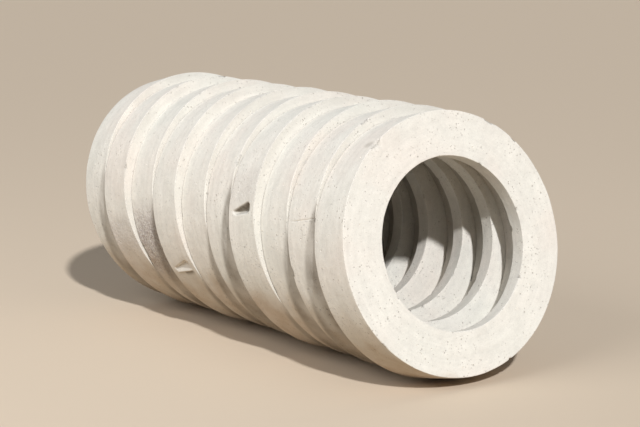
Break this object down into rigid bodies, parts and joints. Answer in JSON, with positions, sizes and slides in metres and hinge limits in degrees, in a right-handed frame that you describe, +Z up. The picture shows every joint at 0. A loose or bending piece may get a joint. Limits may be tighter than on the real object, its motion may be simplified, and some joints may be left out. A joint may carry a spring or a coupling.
{
  "type": "row of concrete sewer shaft rings",
  "caption": "Thick-walled precast concrete sewer rings standing on edge side by side and leaning back as a pipe string, each with a lipped bore.",
  "frame": {"origin": "on the floor, under the middle of the row's bounding box", "axes": "+Z up, +Y along the row from the front ring to the rear ring, +X to the right seen from the front"},
  "size_m": [0.974, 1.9778, 0.9356],
  "materials": {
    "cast_concrete": "matte, dry cast"
  },
  "bodies": {
    "root": {"ring_01": "cast_concrete", "ring_02": "cast_concrete", "ring_03": "cast_concrete", "ring_04": "cast_concrete", "ring_05": "cast_concrete", "ring_06": "cast_concrete", "ring_07": "cast_concrete", "ring_08": "cast_concrete", "ring_09": "cast_concrete", "ring_10": "cast_concrete"}
  },
  "joints": []
}
